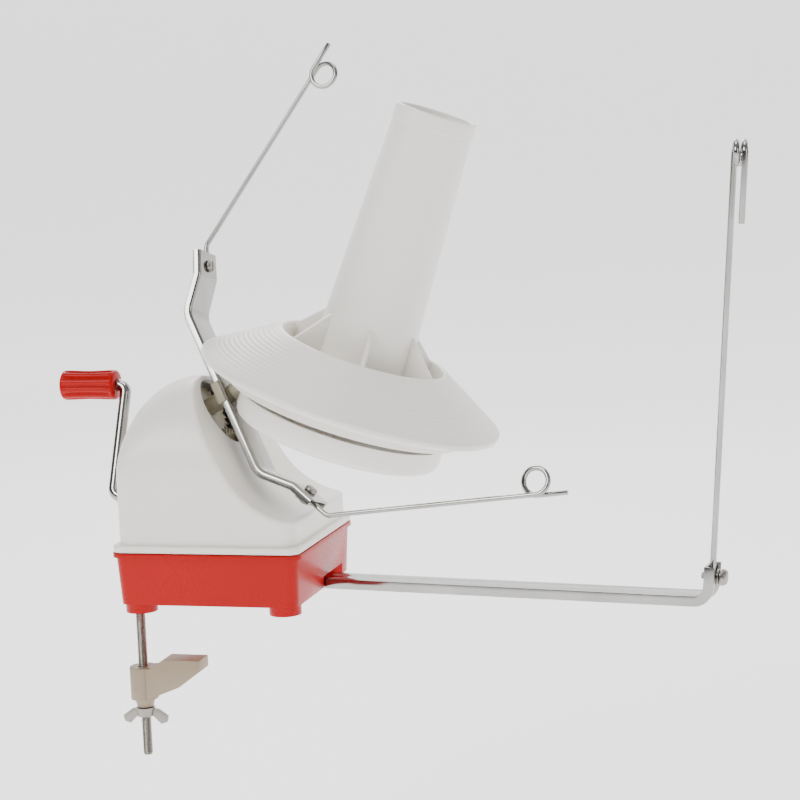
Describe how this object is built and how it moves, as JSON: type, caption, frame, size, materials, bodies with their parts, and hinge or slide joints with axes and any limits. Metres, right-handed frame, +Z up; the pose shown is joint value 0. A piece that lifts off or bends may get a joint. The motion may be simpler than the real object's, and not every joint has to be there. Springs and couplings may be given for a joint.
{
  "type": "ball winder",
  "caption": "Hand-cranked yarn ball winder with a geared wire flyer, a leaning cone, a swinging yarn guide and a table clamp.",
  "frame": {"origin": "middle of the base in the plane of its feet, which is the table top", "axes": "+X from the crank towards the yarn guide, +Z up, -Y towards the user"},
  "size_m": [0.3665, 0.155, 0.3551],
  "materials": {
    "red_plastic": "glossy moulded",
    "white_plastic": "satin moulded",
    "beige_plastic": "matte moulded",
    "beige_nylon": "moulded gear plastic",
    "chrome_plate": "bright plated",
    "zinc_steel": "zinc plated",
    "brass": "turned"
  },
  "bodies": {
    "frame": {"base": "red_plastic", "cover": "white_plastic", "cover_screw_1": "zinc_steel", "cover_screw_2": "zinc_steel", "cover_screw_3": "zinc_steel", "cover_screw_4": "zinc_steel", "bracket_screw_1": "zinc_steel", "bracket_screw_2": "zinc_steel", "gear_bracket": "zinc_steel", "flyer_post": "zinc_steel", "post_nut": "zinc_steel", "crank_bush_outer": "brass", "crank_bush_inner": "brass", "pan": "white_plastic", "spindle_pin": "zinc_steel", "spindle_clip": "zinc_steel", "clamp_rod": "zinc_steel", "clamp_rod_nut": "zinc_steel", "arm_pivot_screw": "zinc_steel"},
    "crank": {"crank_rod": "chrome_plate", "crank_gear": "beige_nylon", "crank_collar": "zinc_steel"},
    "grip": {"handle_grip": "red_plastic"},
    "flyer": {"flyer_bar": "chrome_plate", "flyer_hub_block": "beige_nylon", "flyer_sleeve": "beige_nylon", "flyer_gear": "beige_nylon", "cone_pinion": "beige_nylon", "flyer_wire_lower": "chrome_plate", "flyer_wire_upper": "chrome_plate", "flyer_screw_lower": "zinc_steel", "flyer_screw_upper": "zinc_steel", "flyer_clamp_plate_lower": "zinc_steel", "flyer_clamp_plate_upper": "zinc_steel"},
    "cone": {"cone": "white_plastic", "cone_ring_gear": "white_plastic"},
    "guide_arm": {"guide_arm": "chrome_plate", "guide_screw": "zinc_steel", "guide_washer": "zinc_steel"},
    "guide_wire": {"guide_wire": "chrome_plate"},
    "clamp_jaw": {"clamp_jaw": "beige_plastic"},
    "wing_nut": {"wing_nut": "zinc_steel"}
  },
  "joints": [
    {"name": "crank_turn", "type": "hinge", "parent": "frame", "child": "crank", "pos_m": [0, 0, 0.051], "axis": [1, 0, 0], "continuous": true},
    {"name": "flyer_turn", "type": "hinge", "parent": "frame", "child": "flyer", "pos_m": [0.0032, 0, 0.1054], "axis": [0.866, 0, 0.5], "continuous": true},
    {"name": "cone_turn", "type": "hinge", "parent": "frame", "child": "cone", "pos_m": [0.08184, 0, 0.1508], "axis": [0.342, 0, 0.9397], "continuous": true},
    {"name": "grip_spin", "type": "hinge", "parent": "crank", "child": "grip", "pos_m": [-0.0696, 0.02199, 0.10683], "axis": [1, 0, 0], "continuous": true},
    {"name": "guide_arm_swing", "type": "hinge", "parent": "frame", "child": "guide_arm", "pos_m": [0.034, 0.01, 0.0067], "axis": [0, 0, 1], "range_deg": [0, 30]},
    {"name": "guide_wire_turn", "type": "hinge", "parent": "guide_arm", "child": "guide_wire", "pos_m": [0.24444, -0.01736, 0.012], "axis": [0.071, -0.0087, 0.9974], "range_deg": [-45, 45]},
    {"name": "clamp_jaw_slide", "type": "slide", "parent": "frame", "child": "clamp_jaw", "axis": [0, 0, 1], "range_m": [-0.012, 0.018]},
    {"name": "wing_nut_turn", "type": "hinge", "parent": "clamp_jaw", "child": "wing_nut", "pos_m": [-0.0395, -0.036, -0.0501], "axis": [0, 0, 1], "continuous": true}
  ],
  "couplings": [
    {"joint": "flyer_turn", "follows": "crank_turn", "ratio": -2.4545},
    {"joint": "cone_turn", "follows": "crank_turn", "ratio": -0.31765}
  ]
}
